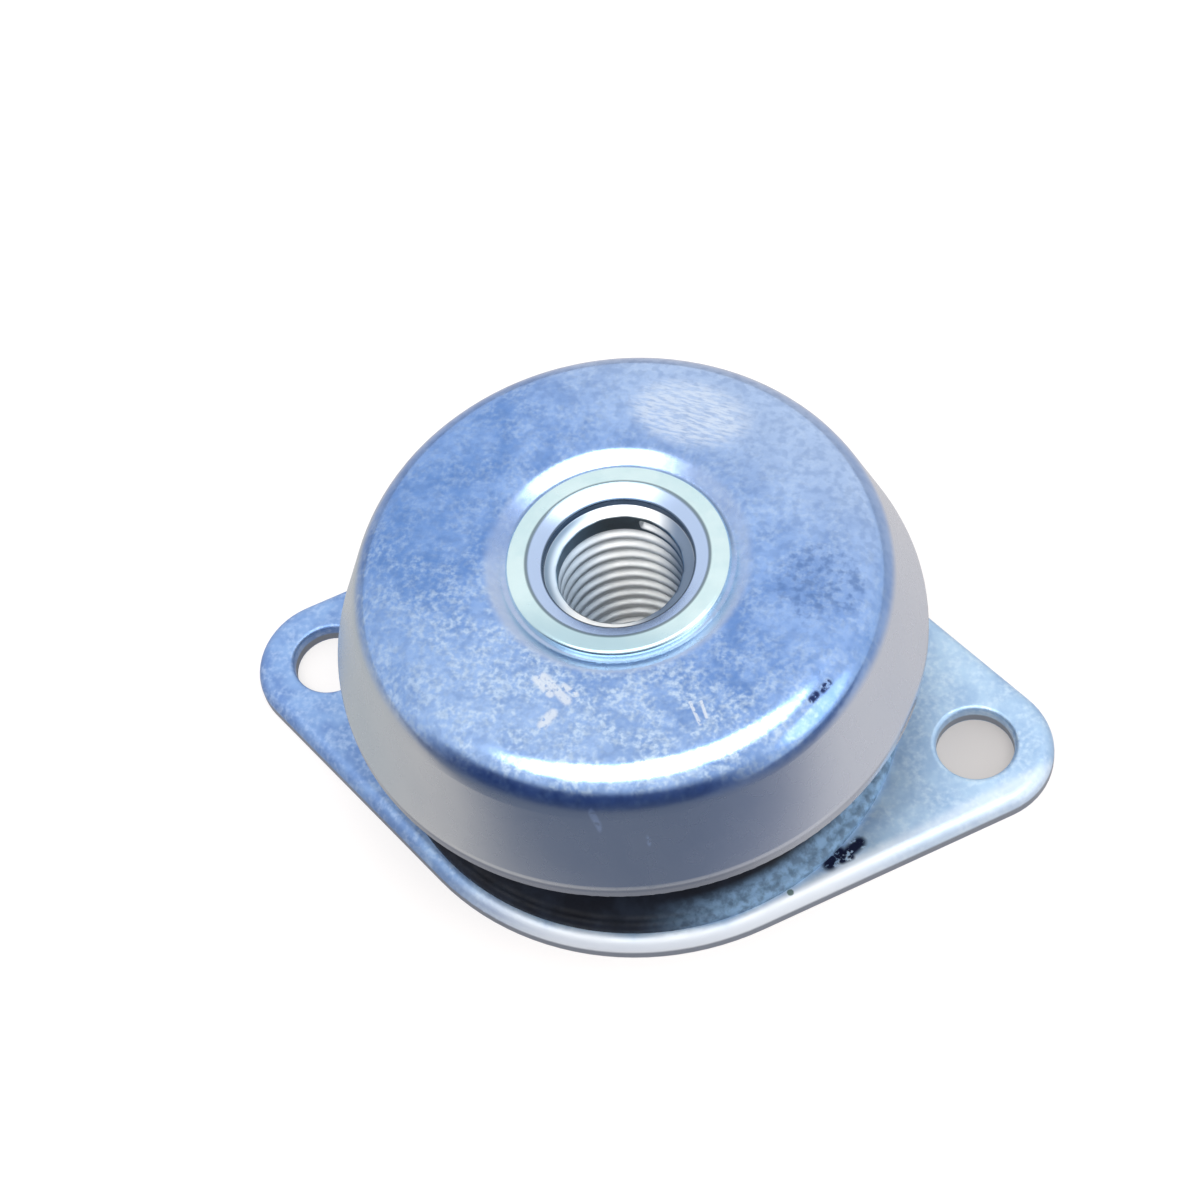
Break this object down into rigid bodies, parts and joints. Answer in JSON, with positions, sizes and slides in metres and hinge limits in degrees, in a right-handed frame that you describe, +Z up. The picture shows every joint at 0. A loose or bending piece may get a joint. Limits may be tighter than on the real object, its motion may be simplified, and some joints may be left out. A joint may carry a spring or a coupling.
{
  "type": "bell-type engine mount",
  "caption": "Rubber-metal engine mount: a drawn steel bell with a threaded bush stands on rubber bonded to a rhombic base plate with a fixing hole at each end.",
  "frame": {"origin": "on the axis of the thread, in the plane of the base plate's underside", "axes": "+Z up along the thread, out of its mouth; +X through the two fixing holes; +Y completes the right-handed frame"},
  "size_m": [0.096, 0.0666, 0.033],
  "materials": {
    "plate_zinc": "zinc plated, satin, with slightly brighter die-rolled edges",
    "bell_zinc": "zinc plated, mottled satin on the top, duller and greyer on the skirt",
    "bush_zinc": "zinc plated, bright swaged ring and bore",
    "rubber": "moulded black, slight sheen"
  },
  "bodies": {
    "root": {"base_plate": "plate_zinc", "bell_cap": "bell_zinc", "threaded_bush": "bush_zinc", "rubber_element": "rubber"}
  },
  "joints": []
}
